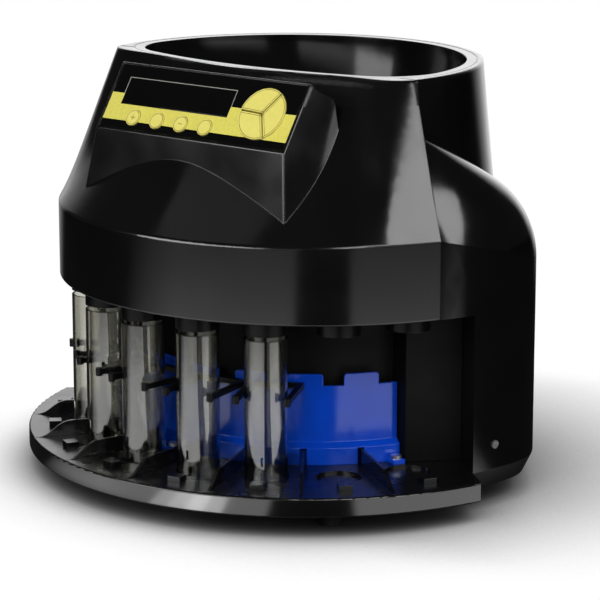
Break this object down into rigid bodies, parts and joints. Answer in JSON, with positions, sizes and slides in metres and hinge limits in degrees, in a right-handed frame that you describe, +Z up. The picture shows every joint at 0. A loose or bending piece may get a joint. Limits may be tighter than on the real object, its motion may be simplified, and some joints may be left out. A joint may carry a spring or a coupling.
{
  "type": "coin sorting machine",
  "caption": "Table-top coin sorter with a hopper, a sloping key panel and clear coin tubes standing round a blue guard ring.",
  "frame": {"origin": "on the floor under the middle of the machine's overall box", "axes": "+Z up, front with the key panel towards -Y, +X to the right of someone facing the back from the front"},
  "size_m": [0.3556, 0.3302, 0.2667],
  "materials": {
    "housing_black": "gloss",
    "bowl_black": "gloss",
    "tray_black": "satin",
    "inner_black": "satin",
    "guard_blue": "gloss",
    "smoke_clear": "clear",
    "panel_film": "satin",
    "window_dark": "clear",
    "key_yellow": "satin",
    "screw_chrome": "bright",
    "foot_rubber": "matt",
    "pad_rubber": "matt",
    "disc_aluminium": "brushed",
    "shaft_steel": "ground",
    "gear_nylon": "satin",
    "motor_zinc": "satin",
    "board_green": "satin",
    "core_steel": "satin",
    "pin_brass": "bright"
  },
  "bodies": {
    "base": {"main_housing": "housing_black", "hopper_tower": "housing_black", "hopper_bowl": "bowl_black", "base_tray": "tray_black", "bay_fins": "tray_black", "stop_tabs": "tray_black", "outlet_plate": "inner_black", "core_shell": "inner_black", "tube_forks": "inner_black", "coin_chutes": "inner_black", "rocker_frame": "inner_black", "power_inlet": "inner_black", "coin_sensors": "inner_black", "key_switches": "inner_black", "display_module": "inner_black", "screw_blocks": "inner_black", "guard_ring": "guard_blue", "panel_overlay": "panel_film", "display_window": "window_dark", "housing_screws": "screw_chrome", "guard_ring_screws": "screw_chrome", "foot_screws": "screw_chrome", "motor_screws": "screw_chrome", "rubber_feet": "foot_rubber", "sorting_ring": "disc_aluminium", "upper_bearing": "shaft_steel", "lower_bearing": "shaft_steel", "motor_bracket": "shaft_steel", "drive_motor": "motor_zinc", "control_board": "board_green", "power_board": "board_green", "display_board": "board_green", "transformer": "core_steel", "inlet_pins": "pin_brass", "board_posts": "pin_brass"},
    "rotor": {"feed_disc": "disc_aluminium", "disc_pad": "pad_rubber", "disc_nut": "shaft_steel", "drive_shaft": "shaft_steel", "drive_gear": "gear_nylon"},
    "pinion": {"motor_pinion": "shaft_steel"},
    "rocker": {"power_rocker": "inner_black"},
    "tube_1": {"coin_tube_1": "smoke_clear"},
    "tube_2": {"coin_tube_2": "smoke_clear"},
    "tube_3": {"coin_tube_3": "smoke_clear"},
    "tube_4": {"coin_tube_4": "smoke_clear"},
    "tube_5": {"coin_tube_5": "smoke_clear"},
    "button_1": {"round_button_1": "key_yellow"},
    "button_2": {"round_button_2": "key_yellow"},
    "button_3": {"round_button_3": "key_yellow"},
    "button_4": {"round_button_4": "key_yellow"},
    "sector_1": {"sector_key_1": "key_yellow"},
    "sector_2": {"sector_key_2": "key_yellow"},
    "sector_3": {"sector_key_3": "key_yellow"}
  },
  "joints": [
    {"name": "feed_disc_turn", "type": "hinge", "parent": "base", "child": "rotor", "pos_m": [0, 0.02765, 0.156], "axis": [0, 0, 1], "continuous": true},
    {"name": "motor_pinion_turn", "type": "hinge", "parent": "base", "child": "pinion", "pos_m": [0, -0.02335, 0.075], "axis": [0, 0, 1], "continuous": true},
    {"name": "power_rocker_tilt", "type": "hinge", "parent": "base", "child": "rocker", "pos_m": [-0.018, 0.1571, 0.062], "axis": [-1, 0, 0], "range_deg": [0, 18]},
    {"name": "coin_tube_1_lift", "type": "slide", "parent": "base", "child": "tube_1", "axis": [0, 0, 1], "range_m": [0, 0.0025]},
    {"name": "coin_tube_2_lift", "type": "slide", "parent": "base", "child": "tube_2", "axis": [0, 0, 1], "range_m": [0, 0.0025]},
    {"name": "coin_tube_3_lift", "type": "slide", "parent": "base", "child": "tube_3", "axis": [0, 0, 1], "range_m": [0, 0.0025]},
    {"name": "coin_tube_4_lift", "type": "slide", "parent": "base", "child": "tube_4", "axis": [0, 0, 1], "range_m": [0, 0.0025]},
    {"name": "coin_tube_5_lift", "type": "slide", "parent": "base", "child": "tube_5", "axis": [0, 0, 1], "range_m": [0, 0.0025]},
    {"name": "round_button_1_press", "type": "slide", "parent": "base", "child": "button_1", "axis": [0, 0.8358, -0.549], "range_m": [0, 0.0008], "stiffness_N_per_m": 600},
    {"name": "round_button_2_press", "type": "slide", "parent": "base", "child": "button_2", "axis": [0, 0.8358, -0.549], "range_m": [0, 0.0008], "stiffness_N_per_m": 600},
    {"name": "round_button_3_press", "type": "slide", "parent": "base", "child": "button_3", "axis": [0, 0.8358, -0.549], "range_m": [0, 0.0008], "stiffness_N_per_m": 600},
    {"name": "round_button_4_press", "type": "slide", "parent": "base", "child": "button_4", "axis": [0, 0.8358, -0.549], "range_m": [0, 0.0008], "stiffness_N_per_m": 600},
    {"name": "sector_key_1_press", "type": "slide", "parent": "base", "child": "sector_1", "axis": [0, 0.8358, -0.549], "range_m": [0, 0.0008], "stiffness_N_per_m": 600},
    {"name": "sector_key_2_press", "type": "slide", "parent": "base", "child": "sector_2", "axis": [0, 0.8358, -0.549], "range_m": [0, 0.0008], "stiffness_N_per_m": 600},
    {"name": "sector_key_3_press", "type": "slide", "parent": "base", "child": "sector_3", "axis": [0, 0.8358, -0.549], "range_m": [0, 0.0008], "stiffness_N_per_m": 600}
  ],
  "couplings": [
    {"joint": "motor_pinion_turn", "follows": "feed_disc_turn", "ratio": -4.6667}
  ]
}
